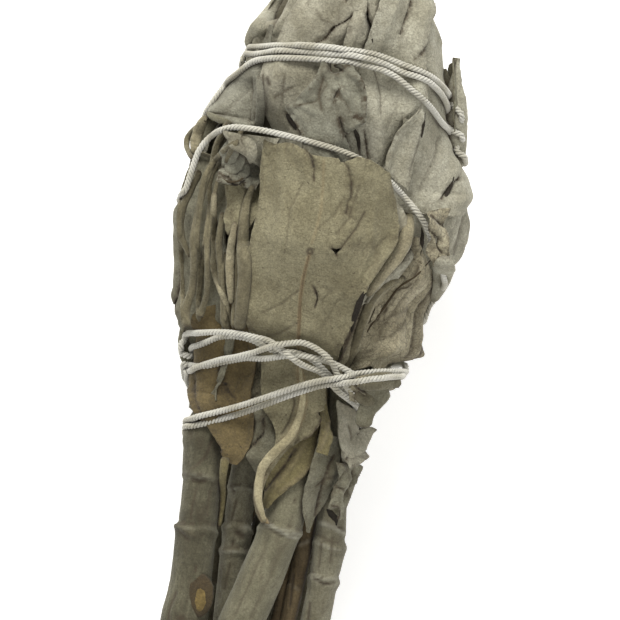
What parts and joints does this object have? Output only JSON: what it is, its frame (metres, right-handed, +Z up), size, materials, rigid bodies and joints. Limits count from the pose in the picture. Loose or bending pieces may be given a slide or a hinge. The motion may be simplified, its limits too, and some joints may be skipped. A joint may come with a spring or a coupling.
{
  "type": "sage smudge stick",
  "caption": "Bundle of dried pale grey-green sage leaves packed round their cut stems and bound with twisted cotton twine, lying on its side and tapering to the leaf tips.",
  "frame": {"origin": "centre of the plan box of the lying bundle, on the surface it rests on", "axes": "+Y along the stick from the cut stems to the leaf tips, +Z up, +X to the right when seen from above with the tips away from the viewer"},
  "size_m": [0.048, 0.1206, 0.0421],
  "materials": {
    "sage_leaf": "matt velvety dried leaf",
    "dry_leaf": "matt browned dried leaf",
    "inner_leaf": "matt packed dried leaf",
    "stem": "dull woody stem with short wool",
    "twine": "twisted raw cotton"
  },
  "bodies": {
    "root": {"back_leaf_a": "sage_leaf", "back_leaf_b": "sage_leaf", "back_leaf_c": "sage_leaf", "back_leaf_d": "sage_leaf", "back_leaf_e": "sage_leaf", "back_leaf_f": "sage_leaf", "back_leaf_g": "sage_leaf", "back_leaf_h": "sage_leaf", "back_leaf_i": "sage_leaf", "back_leaf_j": "sage_leaf", "band_leaf": "sage_leaf", "brown_crumple": "dry_leaf", "brown_low_leaf": "dry_leaf", "brown_thin_leaf": "dry_leaf", "crumpled_leaf": "sage_leaf", "curled_tip_leaf": "sage_leaf", "dry_roll": "dry_leaf", "flag_leaf": "sage_leaf", "fold_leaf": "sage_leaf", "front_leaf": "sage_leaf", "gray_low_leaf": "sage_leaf", "gray_right_leaf": "sage_leaf", "inner_leaves": "inner_leaf", "layered_edge": "dry_leaf", "left_crumple": "sage_leaf", "left_knob": "sage_leaf", "left_loop": "sage_leaf", "left_side_leaf": "sage_leaf", "left_tongue": "sage_leaf", "lobe_leaf": "dry_leaf", "olive_leaf": "dry_leaf", "pale_right_leaf": "sage_leaf", "petiole_fifth": "sage_leaf", "petiole_fourth": "sage_leaf", "petiole_outer": "sage_leaf", "petiole_second": "sage_leaf", "petiole_third": "sage_leaf", "pointed_leaf": "sage_leaf", "rest_leaf": "sage_leaf", "ridge_leaf": "sage_leaf", "right_tip_leaf": "sage_leaf", "side_roll": "sage_leaf", "small_top_leaf": "sage_leaf", "stem_back_left": "stem", "stem_back_middle": "stem", "stem_back_right": "stem", "stem_front": "stem", "stem_inner_left": "stem", "stem_left": "stem", "stem_right": "stem", "stem_scrap": "sage_leaf", "stem_thin": "stem", "straight_strip": "dry_leaf", "strip_leaf": "sage_leaf", "tan_leaf": "dry_leaf", "twine": "twine", "under_lobe": "dry_leaf", "upper_left_leaf": "sage_leaf", "upper_middle_leaf": "sage_leaf", "veined_leaf": "dry_leaf"}
  },
  "joints": []
}
